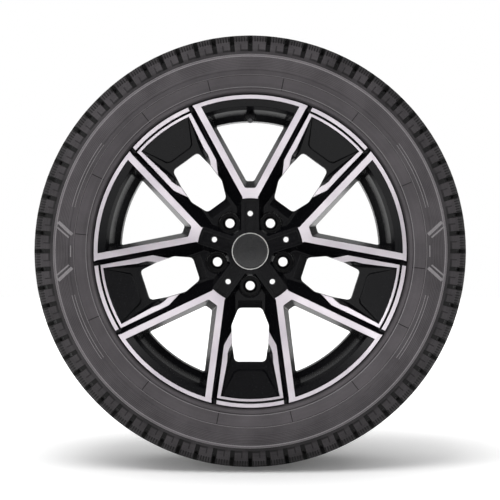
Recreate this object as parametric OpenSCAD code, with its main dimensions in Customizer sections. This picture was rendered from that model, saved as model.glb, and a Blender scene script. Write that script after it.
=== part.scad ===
// Road wheel with its tyre, tyre valve, centre cap and balance weights.
// The axle runs along Y and the face looks towards -Y. The origin is the middle of the rim on the axle.

/* [Rim] */
// Diameter over the bead seats
bead_seat_d = 462; // [458:0.5:466]
// Width between the two flanges
rim_w = 203.2; // [198:0.1:208]
// Height of a flange over the bead seat
flange_h = 17.3; // [16.8:0.1:18.2]
// Depth of a flange outside the rim width
flange_w = 11; // [10.4:0.1:12]
// Wall of the barrel
barrel_wall = 4.4; // [4:0.1:5]
// Depth of the drop centre under the bead seats
well_drop = 17.3; // [16.5:0.1:18.5]
// Length of the floor of the drop centre
well_len = 27; // [22:1:32]
// Turned width of the rim's lip
lip_face_w = 7.3; // [6.5:0.1:8]

/* [Hub] */
// Distance of the hub face from the middle of the rim, towards the face
wheel_offset = 30; // [28:0.5:32]
// Diameter of the centre bore
centre_bore_d = 66.6; // [64:0.1:67.2]
// Length of the relief behind the cap's shelf, wider than the bore, that the cap's clips spring into
clip_relief_h = 4.4; // [4:0.1:5]
// Diameter of the circle of the wheel bolts
pcd = 112; // [110:0.5:114.3]
// Number of wheel bolts, which is also the number of V spokes
bolt_count = 5; // [5:1:5]
// Diameter of a bolt hole
bolt_hole_d = 15; // [14:0.1:15.5]
// Wide diameter of the conical bolt seat
bolt_seat_d = 22.4; // [21:0.1:23.5]
// Diameter of the well that a bolt head drops into
bolt_well_d = 33; // [31:0.5:34]
// Wide diameter of the well's mouth
bolt_mouth_d = 39; // [37:0.5:40]
// Diameter of the flat pad at the hub face
hub_pad_d = 150; // [146:1:154]
// Diameter of the small holes between the bolts
vent_d = 8.8; // [7:0.1:9.5]
// Diameter of the circle of the small holes
vent_pcd = 121; // [117:0.5:124]

/* [Spokes] */
// Depth of the foot of a V below the lip
dish = 26.7; // [24:0.1:29]
// Radius of the foot of a V
v_foot_r = 85.8; // [84:0.2:88]
// Half width of the outer edge of a V at its foot
v_foot_half = 11.8; // [11:0.1:12.6]
// Angle of a V's arms from its middle line
v_angle = 28.6; // [28.2:0.1:29]
// Turned width of a V's arms
arm_w = 10.2; // [9.4:0.1:11]
// Turned width across the foot of a V
foot_w = 15.2; // [14:0.1:16.4]
// Lean of a V window's side walls, sideways run for each mm of depth
arm_lean = 0.243; // [0.2:0.01:0.28]
// Lean of the wall at the foot of a V window, outward run for each mm of depth
foot_lean = 0.35; // [0.3:0.01:0.4]
// Angle of the painted flank beside an arm, down from the face
flank_angle = 50; // [46:1:54]
// Depth of the valley between the Vs, below the lip
valley_h = 47; // [45:0.5:49]
// Slope of the turned blades, as depth over radius
blade_slope = 0.284; // [0.27:0.002:0.3]
// Drop of the blades from the lip
blade_sink = 1.5; // [1:0.1:2.5]
// Gap between a blade and the arm beside it
blade_gap = 8.6; // [8:0.1:9.4]
// Width of the turned line inside the lip
line_w = 3.8; // [3.2:0.1:4.6]
// Width of the groove between the turned line and the lip
ring_groove_w = 3.4; // [2.8:0.1:4]
// Depth of the grooves at the lip
lip_groove_h = 4.2; // [3.4:0.1:5]

/* [Tyre] */
// Outside diameter of the tyre
tyre_d = 702; // [692:1:712]
// Width of the tyre over the side walls
tyre_w = 256; // [250:1:262]
// Width of the tread
tread_w = 206; // [200:1:212]
// Radius of the tread's crown across the tyre
crown_r = 560; // [480:10:700]
// Thickness of the tread with its under layers
tread_t = 16; // [14:0.5:18]
// Thickness of the side wall
wall_t = 7; // [6:0.5:8]
// Depth of the tread grooves
tread_depth = 8.5; // [7:0.5:9.5]
// Width of the cross grooves
cross_w = 5.4; // [4.4:0.2:6.4]
// Number of cross grooves round each shoulder, long ones and short ones by turns
cross_count = 72; // [68:2:76]
// Where a long cross groove starts, from the middle of the tread
cross_long_a = 78; // [76:1:82]
// Where a short cross groove starts, from the middle of the tread
cross_short_a = 94; // [92:1:96]
// Length of the flat spot that the tyre stands on
flat_len = 50; // [40:1:60]
// Gap between the tyre and the rim
tyre_fit = 0.1; // [0.05:0.01:0.2]

/* [Centre cap] */
// Diameter of the cap
cap_d = 59.2; // [58:0.1:60]
// Gap round the cap
cap_fit = 0.2; // [0.1:0.05:0.3]
// Thickness of the cap's front
cap_t = 3; // [2.6:0.1:3.6]
// Number of clips
clip_count = 5; // [4:1:6]

/* [Valve] */
// Lean of the valve from the axle
valve_lean = 20; // [18:1:22]
// Radius of the valve's seat on the rim
valve_r = 218; // [217.4:0.2:218.4]
// Diameter of the valve hole in the rim
valve_hole_d = 11.5; // [11.3:0.1:11.7]
// Diameter of the rubber stem
valve_stem_d = 15; // [14:0.2:16]
// Outside diameter of the valve's thread
valve_thread_d = 7.7; // [7.5:0.1:7.9]
// Pitch of the valve cap's thread
valve_pitch = 0.794; // [0.7:0.01:0.9]
// How far the core's pin can be pressed
pin_travel = 1.2; // [1:0.1:1.4]
// Outside diameter of the valve cap
valve_cap_d = 9.6; // [9.2:0.1:10]

/* [Balance weights] */
// Number of segments in the strip
weight_count = 10; // [6:1:12]
// Length of one segment round the rim
weight_len = 14; // [12:0.5:16]
// Width of a segment along the axle
weight_w = 19; // [16:0.5:22]
// Thickness of a segment
weight_t = 3.4; // [3:0.1:4]
// Thickness of the adhesive tape
tape_t = 0.8; // [0.5:0.1:1.2]

/* [Hidden] */
$fn = 96;
eps = 0.01;
over = 2;

// Rim, in radius and in height along the axle towards the face
bead_r = bead_seat_d / 2;
flange_r = bead_r + flange_h;
lip_a = rim_w / 2 + flange_w;
lip_r = flange_r - lip_face_w;
well_r = bead_r - well_drop;
bevel_r = lip_r - 11.5;
shelf_r = bead_r - 6.5;
neck_r = bead_r - 12;
neck_a = rim_w / 2 - 31;
well_front_a = neck_a - 10;
well_back_a = well_front_a - well_len;

// Heights of the turned faces by radius
face_slope = dish / (lip_r - v_foot_r);
function face_a(r) = lip_a - face_slope * (lip_r - r);
function blade_a(r) = lip_a - blade_sink - blade_slope * (lip_r - r);

// Plan of a V, in its own frame, with its middle line along X
v_step = 360 / bolt_count;
arm_slope = tan(v_angle);
function v_outer(u) = v_foot_half + arm_slope * (u - v_foot_r);
function v_inner(u) = v_outer(u) - arm_w / cos(v_angle);

// Height of an arm's inner edge, which rises evenly along the arm
window_u = v_foot_r + foot_w;
arm_in_a = face_a(norm([window_u, v_inner(window_u)]));
arm_far_a = face_a(norm([lip_r - 15, v_inner(lip_r - 15)]));
function inner_edge_a(u) = arm_in_a + (arm_far_a - arm_in_a) * (u - window_u) / (lip_r - 15 - window_u);

// Plan of the space between two Vs, in its own frame, with its middle line along X
half_step = v_step / 2;
p_slope = tan(half_step - v_angle);
p_foot = [v_foot_r * cos(half_step) + v_foot_half * sin(half_step),
          v_foot_r * sin(half_step) - v_foot_half * cos(half_step)];
function p_edge(u) = p_foot[1] + p_slope * (u - p_foot[0]);

// Height of an arm's outer edge, from the foot of the V to the lip
p_rim_u = lip_r - 8;
p_foot_a = face_a(norm(p_foot));
p_rise = (face_a(norm([p_rim_u, p_edge(p_rim_u)])) - p_foot_a) / (p_rim_u - p_foot[0]);
function outer_edge_a(u) = p_foot_a + p_rise * (u - p_foot[0]);

// Outline of the frame of turned blades, as half widths from the middle line
ring_r = lip_r - ring_groove_w;
blade_out_u = ring_r - 7;
blade_bend_u = 150;
blade_outer = [[128.3, 30],
               [blade_bend_u, p_edge(blade_bend_u) - blade_gap],
               [blade_out_u, p_edge(blade_out_u) - blade_gap]];
blade_inner = [[143, 27.5],
               [155.4, 33.5],
               [163, 36],
               [176, 36.6],
               [blade_out_u - 2.4, blade_outer[2][1] - 5.7]];

// Hub
rib_half = 14.2;
rib_lean = 0.45;
bolt_r = pcd / 2;
rib_a = face_a(v_foot_r) - 4;
slot_a = rib_a - 2.6;
slot_half = 8.6;
seat_a = wheel_offset + 20;
hub_pad_r = hub_pad_d / 2;

// Centre cap
cap_r = cap_d / 2;
cap_floor_a = rib_a - cap_t;
cap_hole_r = cap_r - 3.2;
cap_shelf_a = cap_floor_a - 9;
clip_l = cap_floor_a - cap_shelf_a + 2.5;
bore_top_a = cap_shelf_a - clip_relief_h;

function unit(v) = v / norm(v);
function turn(a, b) = let (d = b - a) d - 360 * round(d / 360);

// The points of a rounded corner at q, between its neighbours p and s
function corner(p, q, s, rad, n) =
    let (d1 = unit(p - q), d2 = unit(s - q), half = acos(d1 * d2) / 2)
    let (c = q + unit(d1 + d2) * rad / sin(half), t = rad / tan(half))
    let (e1 = q + d1 * t - c, e2 = q + d2 * t - c)
    let (a1 = atan2(e1[1], e1[0]), da = turn(a1, atan2(e2[1], e2[0])))
    [for (i = [0 : n]) c + rad * [cos(a1 + da * i / n), sin(a1 + da * i / n)]];

// An outline with every corner rounded
function rounded(pts, radii, n = 5) =
    let (m = len(pts))
    [for (i = [0 : m - 1]) each corner(pts[(i + m - 1) % m], pts[i], pts[(i + 1) % m], radii[i], n)];

// A half outline with its mirror image, counter-clockwise
function both(half) =
    concat([for (i = [0 : len(half) - 1]) [half[i][0], -half[i][1]]],
           [for (i = [len(half) - 1 : -1 : 0]) half[i]]);

// A solid through rings of as many points each, the lowest first
module skin(rings) {
    n = len(rings[0]);
    m = len(rings);
    sides = [for (r = [0 : m - 2], i = [0 : n - 1], k = [0, 1])
        let (j = (i + 1) % n, lo = r * n, hi = lo + n)
        k == 0 ? [lo + i, hi + i, hi + j] : [lo + i, hi + j, lo + j]];
    ends = [[for (i = [0 : n - 1]) i], [for (i = [n - 1 : -1 : 0]) (m - 1) * n + i]];
    polyhedron([for (ring = rings) each ring], concat(sides, ends));
}

// A solid between two outlines at two heights
module loft(low, low_a, high, high_a) {
    skin([[for (p = low) [p[0], p[1], low_a]], [for (p = high) [p[0], p[1], high_a]]]);
}

// Puts what is drawn along Z on the axle, with its top towards the face
module on_axle() {
    rotate([90, 0, 0]) children();
}

// Repeats for every V, the first one at the top
module each_v() {
    for (i = [0 : bolt_count - 1]) rotate(90 + i * v_step) children();
}

// Repeats for every space between two Vs
module each_p() {
    for (i = [0 : bolt_count - 1]) rotate(90 + half_step + i * v_step) children();
}

// Keeps what lies above a turned surface, given as points of radius and height from the axle outwards
module above(profile) {
    first = profile[0];
    last = profile[len(profile) - 1];
    difference() {
        children();
        rotate(180) rotate_extrude() polygon(concat([[0, 0], [0, first[1]]], profile, [[last[0], 0]]));
    }
}

// The barrel with its flanges, bead seats and drop centre
module barrel() {
    seat_in = 17;
    back_a = -rim_w / 2;
    rotate_extrude($fn = 180) polygon([
        [lip_r, lip_a],
        [flange_r - 1.2, lip_a],
        [flange_r, lip_a - 1.5],
        [flange_r, lip_a - 5],
        [flange_r - 2.5, lip_a - 8.2],
        [flange_r - 8, rim_w / 2 + 1],
        [bead_r + 5.5, rim_w / 2],
        [bead_r + 1.6, rim_w / 2 - 1.8],
        [bead_r, rim_w / 2 - 6],
        [bead_r - 1, rim_w / 2 - seat_in],
        [bead_r - 0.6, rim_w / 2 - seat_in - 2.5],
        [bead_r - 1.6, rim_w / 2 - seat_in - 5],
        [neck_r + barrel_wall + 1, neck_a - 1],
        [well_r, well_front_a - 3.6],
        [well_r, well_back_a + 1.6],
        [bead_r - 7, well_back_a - 16],
        [bead_r - 4, back_a + seat_in + 8],
        [bead_r - 1.6, back_a + seat_in + 5],
        [bead_r - 0.6, back_a + seat_in + 2.5],
        [bead_r - 1, back_a + seat_in],
        [bead_r, back_a + 6],
        [bead_r + 1.6, back_a + 1.8],
        [bead_r + 5.5, back_a],
        [flange_r - 8, back_a - 1],
        [flange_r - 2.5, -lip_a + 8.2],
        [flange_r, -lip_a + 5],
        [flange_r, -lip_a + 1.5],
        [flange_r - 1.2, -lip_a],
        [flange_r - 4, -lip_a],
        [flange_r - 8, back_a - 1 - barrel_wall],
        [bead_r + 1.6, back_a - barrel_wall],
        [bead_r - barrel_wall, back_a + 3],
        cone_back,
        cone_front,
        [well_r - barrel_wall, well_back_a],
        [well_r - barrel_wall, well_front_a],
        [neck_r, neck_a],
        [shelf_r, lip_a - 16],
        [bevel_r, lip_a - 6.5],
        [lip_r - 0.5, lip_a - 1.5]]);
}

// The blank that the spokes are cut from, its front turned and its back dished
module spoke_blank() {
    rotate_extrude($fn = 180) polygon([
        [0, rib_a],
        [v_foot_r - 1, rib_a],
        [v_foot_r - 1, face_a(v_foot_r - 1)],
        [lip_r, lip_a],
        [lip_r + 2, lip_a],
        [lip_r + 2, lip_a - 4],
        [bevel_r + 4, lip_a - 9],
        [shelf_r + 2.5, lip_a - 16],
        [neck_r + 2, neck_a],
        [well_r - barrel_wall + 2, well_front_a],
        [well_r - barrel_wall - 5.5, lip_a - 37.5],
        [150, lip_a - 50],
        [104, lip_a - 62],
        [hub_pad_r + 4, wheel_offset + 8],
        [hub_pad_r, wheel_offset + 2],
        [hub_pad_r - 2, wheel_offset],
        [0, wheel_offset]]);
}

// One V window, its walls leaning in towards the back
module v_window() {
    far = flange_r + 8;
    low_a = wheel_offset + 4;
    high_a = lip_a + over;
    function outline(a) =
        let (near = window_u + (arm_in_a - a) * foot_lean)
        both([for (u = [near, far]) [u, v_inner(u) + arm_lean * (a - inner_edge_a(u))]]);
    loft(rounded(outline(low_a), [5, 2, 2, 5]), low_a, rounded(outline(high_a), [3, 2, 2, 3]), high_a);
}

// The hollow between two Vs, outside the frame of blades: its sides fall from the arms and from the ribs,
// and its floor rises to a notch in the lip
module valley() {
    far = flange_r + 14;
    run = 1 / tan(flank_angle);
    low_a = lip_a - valley_h - over;
    high_a = lip_a + over;
    in_r = 36;
    function flank_v(u, a) = p_edge(u) - (outer_edge_a(u) - a) * run;
    function rib_v(u, a) = u * tan(half_step) - (rib_half + (rib_a - a) * rib_lean) / cos(half_step);
    function outline(a) =
        let (near = in_r + (rib_a - a) * 0.3)
        let (gap_0 = flank_v(0, a) - rib_v(0, a), gap_1 = flank_v(1, a) - rib_v(1, a))
        let (meet = gap_0 / (gap_0 - gap_1))
        both([[near, rib_v(near, a)], [meet, flank_v(meet, a)], [far, flank_v(far, a)]]);
    above([[shelf_r - 12, lip_a - valley_h],
           [bevel_r - 1, lip_a - 15],
           [lip_r + 1, lip_a - lip_groove_h],
           [far + 30, lip_a - lip_groove_h]])
        difference() {
            loft(outline(low_a), low_a, outline(high_a), high_a);
            blade_prism();
        }
}

// Outline of the frame of blades
module blade_plan() {
    far = flange_r + 20;
    polygon(both(concat(blade_outer, [[far, p_edge(far) - blade_gap]])));
}
module blade_prism() {
    translate([0, 0, wheel_offset - over]) linear_extrude(lip_a) blade_plan();
}

// Turns the frame of blades down to its own surface, up to the groove inside the lip
module blade_top() {
    mid_r = ring_r + ring_groove_w / 2;
    above([[v_foot_r, blade_a(v_foot_r)],
           [mid_r, blade_a(mid_r)],
           [mid_r + 0.5, lip_a + 2 * over],
           [flange_r + 40, lip_a + 2 * over]])
        blade_prism();
}

// The pocket inside the frame of blades: its bottom rises outwards, with a raised floor in its outer half
pocket_far_r = ring_r - line_w;
function far_arc(r, half_v, n = 6) =
    let (h = asin(half_v / r)) [for (i = [0 : n]) r * [cos(h * (2 * i / n - 1)), sin(h * (2 * i / n - 1))]];
function across(half) = concat([for (i = [len(half) - 1 : -1 : 0]) half[i]], [for (p = half) [p[0], -p[1]]]);
module blade_pocket() {
    bottom_a = lip_a - 34;
    rise = 0.45;
    bottom_u = 177;
    side = [for (i = [0 : 3]) blade_inner[i]];
    foot = [[143, 22], [155.4, 27], [165, 29], [176, 30]];
    far_v = blade_inner[4][1];
    top = concat(far_arc(pocket_far_r, far_v), across(side));
    low = concat(far_arc(pocket_far_r - 0.8, far_v - 0.5), across(foot));
    difference() {
        skin([[for (p = low) [p[0], p[1], bottom_a + rise * (p[0] - bottom_u)]],
              [for (p = top) [p[0], p[1], blade_a(norm(p)) - 0.4]],
              [for (p = top) [p[0], p[1], lip_a + over]]]);
        pocket_floor();
    }
}

// The raised floor of the pocket
module pocket_floor() {
    near = 190.6;
    near_half = 25;
    far = 229;
    far_half = 44.5;
    near_a = lip_a - 25.5;
    rise = 0.42;
    function plan(out) =
        both([[near - out, near_half - 6], [near - out + 3, near_half - 1 + out], [far, far_half + out / 2],
              [far + 14, far_half + out / 2]]);
    skin([[for (p = plan(1.5)) [p[0], p[1], near_a - 16]],
          [for (p = plan(1.5)) [p[0], p[1], near_a - 2 + rise * (p[0] - near)]],
          [for (p = plan(0)) [p[0], p[1], near_a + rise * (p[0] - near)]]]);
}

// One P window
module p_window() {
    draft = 1.6;
    back = both([[92, 18.6], [119, 29.4], [150, 28.2], [176.5, 24]]);
    front = both([[92 - draft, 18.6 + draft / 2], [119, 29.4 + draft], [150, 28.2 + draft],
                  [176.5 + draft, 24 + draft]]);
    radii = [8, 14, 40, 7, 7, 40, 14, 8];
    loft(rounded(back, radii), wheel_offset, rounded(front, radii), lip_a + over);
}

// The slope from the ledge outside a bolt down to the P window
module hub_slope() {
    half = 19;
    near = 78.5;
    far = 104;
    top_a = lip_a - valley_h;
    low_a = top_a - 11;
    high_a = top_a + 12;
    translate([0, half, 0]) rotate([90, 0, 0]) linear_extrude(2 * half)
        polygon([[near, top_a + eps], [93, low_a], [far, low_a], [far, high_a], [near, high_a]]);
}

// One bolt hole with its conical seat, its well and the well's mouth
module bolt_hole() {
    hole_r = bolt_hole_d / 2;
    seat_r = bolt_seat_d / 2;
    well_bolt_r = bolt_well_d / 2;
    seat_h = (seat_r - hole_r) / tan(30);
    mouth_a = lip_a - valley_h - 6;
    mouth_h = 7;
    translate([bolt_r, 0, 0]) rotate_extrude() polygon([
        [0, wheel_offset - over],
        [hole_r, wheel_offset - over],
        [hole_r, seat_a - seat_h],
        [seat_r, seat_a],
        [well_bolt_r, seat_a],
        [well_bolt_r, mouth_a],
        [bolt_mouth_d / 2, mouth_a + mouth_h],
        [well_bolt_r, mouth_a + mouth_h],
        [well_bolt_r, rib_a - 3],
        [0, rib_a - 3]]);
}

// The shallow channel along one rib, with its small hole and the relief at the hub face
module rib_channel() {
    vent_r = vent_pcd / 2;
    translate([0, 0, slot_a]) linear_extrude(lip_a)
        polygon(rounded(both([[24, slot_half - 1], [v_foot_r - 4.5, slot_half]]), [1, 3, 3, 1]));
    translate([vent_r, 0, wheel_offset - over]) cylinder(d = vent_d, h = lip_a);
    translate([vent_r, 0, wheel_offset - over]) cylinder(d = 21, h = 12 + over);
}

// The hole in the middle: hub bore, clip relief, clip bore and the cap's seat
module centre_hole() {
    translate([0, 0, wheel_offset - over])
        cylinder(d = centre_bore_d, h = bore_top_a + clip_relief_h / 2 - wheel_offset + over);
    translate([0, 0, bore_top_a]) cylinder(d = centre_bore_d + 2, h = cap_shelf_a - bore_top_a);
    translate([0, 0, wheel_offset - over]) cylinder(r = cap_hole_r, h = lip_a);
    translate([0, 0, wheel_offset - over])
        cylinder(r1 = centre_bore_d / 2 + over + 1.5, r2 = centre_bore_d / 2, h = over + 1.5);
    translate([0, 0, cap_floor_a]) cylinder(r = cap_r + cap_fit, h = lip_a);
}

// Puts what is drawn along Z on the valve's axis, with its seat at the origin and its tip towards the face
valve_a = neck_a - 4.1;
valve_wall = 3.8;
valve_boss_r = 11;
valve_flange_r = 8.2;
module on_valve() {
    rotate(90) translate([valve_r, 0, valve_a]) rotate([0, -valve_lean, 0]) children();
}

// The thick wall round the valve, outside the drop centre
module valve_boss() {
    difference() {
        on_valve() translate([0, 0, -valve_wall - 3]) cylinder(r = valve_boss_r, h = valve_wall + 4);
        cylinder(r = well_r - barrel_wall + eps, h = lip_a);
    }
}

// The valve's hole, its spot face and the hollow behind it
module valve_hole() {
    spot_r = valve_stem_d / 2 + 1.2;
    on_valve() {
        translate([0, 0, -valve_wall - over]) cylinder(d = valve_hole_d, h = valve_wall + 2 * over);
        cylinder(r = spot_r, h = 24);
        translate([0, 0, -valve_wall - 16]) cylinder(r = valve_flange_r + 0.5, h = 16);
    }
}

module wheel_casting() {
    color([0.12, 0.12, 0.13]) on_axle() difference() {
        union() {
            barrel();
            valve_boss();
            difference() {
                spoke_blank();
                each_v() v_window();
            }
        }
        each_p() {
            p_window();
            valley();
            blade_top();
            blade_pocket();
            ring_groove();
            hub_slope();
            bolt_hole();
            back_relief();
        }
        each_v() rib_channel();
        centre_hole();
        valve_hole();
    }
}

// The groove between the turned line and the lip
module ring_groove() {
    half_band = asin(p_edge(lip_r) / lip_r) - 1;
    rotate(-half_band) rotate_extrude(angle = 2 * half_band, $fn = 180)
        translate([ring_r, lip_a - lip_groove_h - 0.8]) square([ring_groove_w, lip_groove_h + over]);
}

// Hollow behind the pocket, open at the back
module back_relief() {
    top_a = lip_a - 42;
    translate([0, 0, wheel_offset]) linear_extrude(top_a - wheel_offset)
        polygon(both([[186, 16], [207, 24]]));
}

// Half section of the tyre's outside, from the bead's toe to the crown
shoulder_r = tyre_d / 2 - (crown_r - sqrt(crown_r * crown_r - tread_w * tread_w / 4));
side_a = tyre_w / 2;
function crown_at(y) = tyre_d / 2 - (crown_r - sqrt(crown_r * crown_r - y * y));
bead_half = [
    [bead_r - 1.1 + tyre_fit, rim_w / 2 - 19],
    [bead_r + tyre_fit, rim_w / 2 - 6],
    [bead_r + 1.6 + tyre_fit, rim_w / 2 - 1.9],
    [bead_r + 5.5 + tyre_fit, rim_w / 2 - 0.1],
    [flange_r - 8 + tyre_fit, rim_w / 2 + 0.9],
    [flange_r - 2.5 + tyre_fit, lip_a - 8.3],
    [flange_r + tyre_fit + 0.1, lip_a - 5],
    [flange_r + 1.6, lip_a - 1.6]];
// Radius of a point of the side wall's outline, as a share of the wall's height
wall_top_r = shoulder_r - 21;
function wall_r(share) = flange_r + share * (wall_top_r - flange_r);
side_half = [
    [wall_r(0.055), lip_a + 3],
    [wall_r(0.111), lip_a + 4.4],
    [wall_r(0.125), lip_a + 3.2],
    [wall_r(0.222), lip_a + 7],
    [wall_r(0.388), side_a - 3.8],
    [wall_r(0.402), side_a - 4.6],
    [wall_r(0.416), side_a - 3.2],
    [wall_r(0.499), side_a - 1.8],
    [wall_r(0.520), side_a - 0.5],
    [wall_r(0.665), side_a],
    [wall_r(0.790), side_a - 1],
    [wall_r(0.832), side_a - 0.8],
    [wall_r(0.859), side_a - 2.6]];
shoulder_half = [
    [wall_top_r, side_a - 8],
    [shoulder_r - 11, side_a - 13.5],
    [shoulder_r - 4, tread_w / 2 + 6],
    [shoulder_r, tread_w / 2]];
crown_half = [for (i = [1 : 8]) let (y = tread_w / 2 * (1 - i / 8)) [crown_at(y), y]];
outer_half = concat(bead_half, side_half, shoulder_half, crown_half);
inner_half = [
    [crown_at(0) - tread_t, 0],
    [crown_at(tread_w / 4) - tread_t, tread_w / 4],
    [crown_at(tread_w / 2) - tread_t - 1, tread_w / 2 - 12],
    [wall_top_r - 3, side_a - wall_t - 9],
    [wall_r(0.804), side_a - wall_t - 2.5],
    [wall_r(0.554), side_a - wall_t - 1.6],
    [wall_r(0.222), side_a - wall_t - 7],
    [wall_r(0.028), rim_w / 2 - 10],
    [bead_r + 9, rim_w / 2 - 17]];
tyre_section = concat(
    [for (i = [0 : len(outer_half) - 1]) outer_half[i]],
    [for (i = [len(outer_half) - 2 : -1 : 0]) [outer_half[i][0], -outer_half[i][1]]],
    [for (i = [len(inner_half) - 1 : -1 : 0]) [inner_half[i][0], -inner_half[i][1]]],
    [for (i = [1 : len(inner_half) - 1]) inner_half[i]]);

// One cross groove, from its start on the tread over the shoulder
module cross_groove(start_a) {
    top_r = tyre_d / 2 + 8;
    floor_r = shoulder_r - tread_depth;
    rotate([90, 0, 0]) translate([0, 0, -cross_w / 2]) linear_extrude(cross_w)
        polygon([[crown_at(start_a) + 1, start_a],
                 [floor_r + 1, start_a + 5],
                 [floor_r - 3, tread_w / 2 - 4],
                 [shoulder_r - 14, tread_w / 2 + 7],
                 [shoulder_r - 22, side_a + 2],
                 [top_r, side_a + 2],
                 [top_r, start_a]]);
}

// The cross grooves of both shoulders
module cross_grooves() {
    for (i = [0 : cross_count - 1], side = [0, 1])
        rotate(i * 360 / cross_count) mirror([0, 0, side])
            cross_groove(i % 2 == 0 ? cross_long_a : cross_short_a);
}

module tyre() {
    groove_y = 33;
    groove_w = 9;
    fine_y = 70;
    fine_w = 4;
    color([0.16, 0.16, 0.16]) on_axle() difference() {
        rotate_extrude($fn = 180) difference() {
            polygon(tyre_section);
            for (s = [-1, 1]) {
                translate([crown_at(groove_y) - tread_depth, s * groove_y - groove_w / 2])
                    square([tread_depth + 4, groove_w]);
                translate([crown_at(fine_y) - tread_depth + 2, s * fine_y - fine_w / 2])
                    square([tread_depth + 4, fine_w]);
            }
        }
        cross_grooves();
        translate([-tyre_d / 2, -tyre_d, -tyre_w]) cube([tyre_d, tyre_d / 2 + flat_y(), 2 * tyre_w]);
    }
}
function flat_y() = tyre_d / 2 - sqrt(tyre_d * tyre_d / 4 - flat_len * flat_len / 4);

// The cap's moulding: a flat front, a skirt and clips
module centre_cap() {
    skirt_r = cap_hole_r - 1.2;
    color([0.1, 0.1, 0.1]) on_axle() translate([0, 0, cap_floor_a]) {
        difference() {
            cylinder(r = cap_r, h = cap_t);
            translate([0, 0, cap_t - 0.9]) cylinder(r = cap_r - 1.4, h = over);
        }
        difference() {
            translate([0, 0, -clip_l]) cylinder(r = skirt_r, h = clip_l + eps);
            translate([0, 0, -clip_l - over]) cylinder(r = skirt_r - 2, h = clip_l + over);
            for (i = [0 : clip_count - 1]) rotate((i + 0.5) * 360 / clip_count)
                translate([0, -9, -clip_l - over]) cube([cap_r, 18, clip_l - 2 + over]);
        }
        intersection() {
            rotate_extrude()
                polygon([[skirt_r - eps, -clip_l], [skirt_r, -clip_l], [cap_hole_r + 0.9, -clip_l + 2],
                                      [skirt_r, -clip_l + 2.4], [skirt_r - eps, -clip_l + 2.4]]);
            for (i = [0 : clip_count - 1])
                rotate(i * 360 / clip_count) translate([0, -5, -20]) cube([cap_r, 10, 30]);
        }
    }
}

// The bare face plate let into the cap, with its bright raised edge
module cap_face_plate() {
    r = cap_r - 1.5;
    color([0.75, 0.75, 0.75]) on_axle() translate([0, 0, cap_floor_a + cap_t - 0.9]) rotate_extrude()
        polygon([[0, 0], [r, 0], [r, 1.3], [r - 0.8, 1.6],
                 [r - 1.6, 1.2], [r - 6, 1.5], [r - 14, 1.9], [0, 2.2]]);
}

// The wire ring that spreads the clips
module cap_spring_ring() {
    wire = 1.4;
    r = cap_hole_r - 3.2 - wire / 2 - 0.1;
    color([0.6, 0.6, 0.6]) on_axle() translate([0, 0, cap_floor_a - 8]) difference() {
        rotate_extrude() translate([r, 0]) circle(d = wire, $fn = 24);
        rotate(20) translate([0, -2, -2]) cube([cap_r, 4, 4]);
    }
}

// Heights along the valve's axis from its seat
core_low = 13;
core_top = 25;
tube_top = 27;
thread_low = 16;

// The rubber body of the valve, snapped into the rim
module valve_stem() {
    neck = valve_hole_d / 2 - 0.05;
    foot = -valve_wall - 0.05;
    color([0.08, 0.08, 0.08]) on_axle() on_valve() difference() {
        rotate_extrude() polygon([
            [0, foot - 9], [valve_flange_r - 1.2, foot - 9],
            [valve_flange_r, foot - 6], [valve_flange_r, foot - 1.6],
            [valve_flange_r - 2.4, foot], [neck, foot], [neck, 0.05], [valve_stem_d / 2, 0.05],
            [valve_stem_d / 2, 3], [6, 8], [5.2, thread_low], [0, thread_low]]);
        translate([0, 0, foot - 10]) cylinder(d = tube_d + 0.04, h = 40);
    }
}

// The brass tube inside the rubber, threaded at its tip
tube_d = 6.2;
tube_bore_d = 3.4;
core_bore_d = 5.2;
module valve_insert() {
    color([0.75, 0.6, 0.3]) on_axle() on_valve() difference() {
        union() {
            translate([0, 0, -10]) cylinder(d = tube_d, h = 10 + thread_low);
            translate([0, 0, thread_low + 0.2])
                cylinder(d = valve_thread_d, h = tube_top - thread_low - 0.7);
            translate([0, 0, tube_top - 0.5])
                cylinder(d1 = valve_thread_d, d2 = valve_thread_d - 1, h = 0.5);
            translate([0, 0, thread_low]) cylinder(d = tube_d, h = 1);
        }
        translate([0, 0, -10 - over]) cylinder(d = tube_bore_d, h = 40);
        translate([0, 0, core_low - 1]) cylinder(d = core_bore_d, h = 20);
    }
}

// The body of the valve core, screwed into the tube, with the chamber of its spring
core_chamber_d = 3.2;
core_guide_d = 1.6;
chamber_low = core_low + 1.3;
chamber_top = core_top - 4.8;
module valve_core() {
    color([0.8, 0.68, 0.35]) on_axle() on_valve() difference() {
        translate([0, 0, core_low]) cylinder(d = core_bore_d - 0.1, h = core_top - core_low);
        translate([0, 0, chamber_low]) cylinder(d = core_chamber_d, h = chamber_top - chamber_low);
        translate([0, 0, core_low - over]) cylinder(d = core_guide_d, h = core_top);
        for (s = [-1, 1]) translate([s * 2.2 - 0.8, -3, core_top - over]) cube([1.6, 6, 2 * over]);
    }
}

// The pin that lets air in when it is pressed
pin_d = 1.2;
seal_t = 2;
collar_a = chamber_top - 1.6;
module valve_core_pin() {
    color([0.85, 0.75, 0.4]) on_axle() on_valve() {
        translate([0, 0, core_low - seal_t - 1])
            cylinder(d = pin_d, h = core_top - core_low + seal_t + 1 + pin_travel + 0.4);
        translate([0, 0, core_low - seal_t - 1]) cylinder(d = 2.8, h = 0.9);
        translate([0, 0, core_top + pin_travel + 0.2]) cylinder(d = 1.7, h = 0.5);
        translate([0, 0, collar_a]) cylinder(d = core_chamber_d - 0.4, h = 0.5);
    }
}

// The seal that the pin pulls up against the core's body
module valve_core_seal() {
    color([0.2, 0.2, 0.2]) on_axle() on_valve() difference() {
        translate([0, 0, core_low - 0.05 - seal_t]) cylinder(d = 3.1, h = seal_t);
        translate([0, 0, core_low - over - seal_t]) cylinder(d = pin_d + 0.1, h = seal_t + 2 * over);
    }
}

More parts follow.
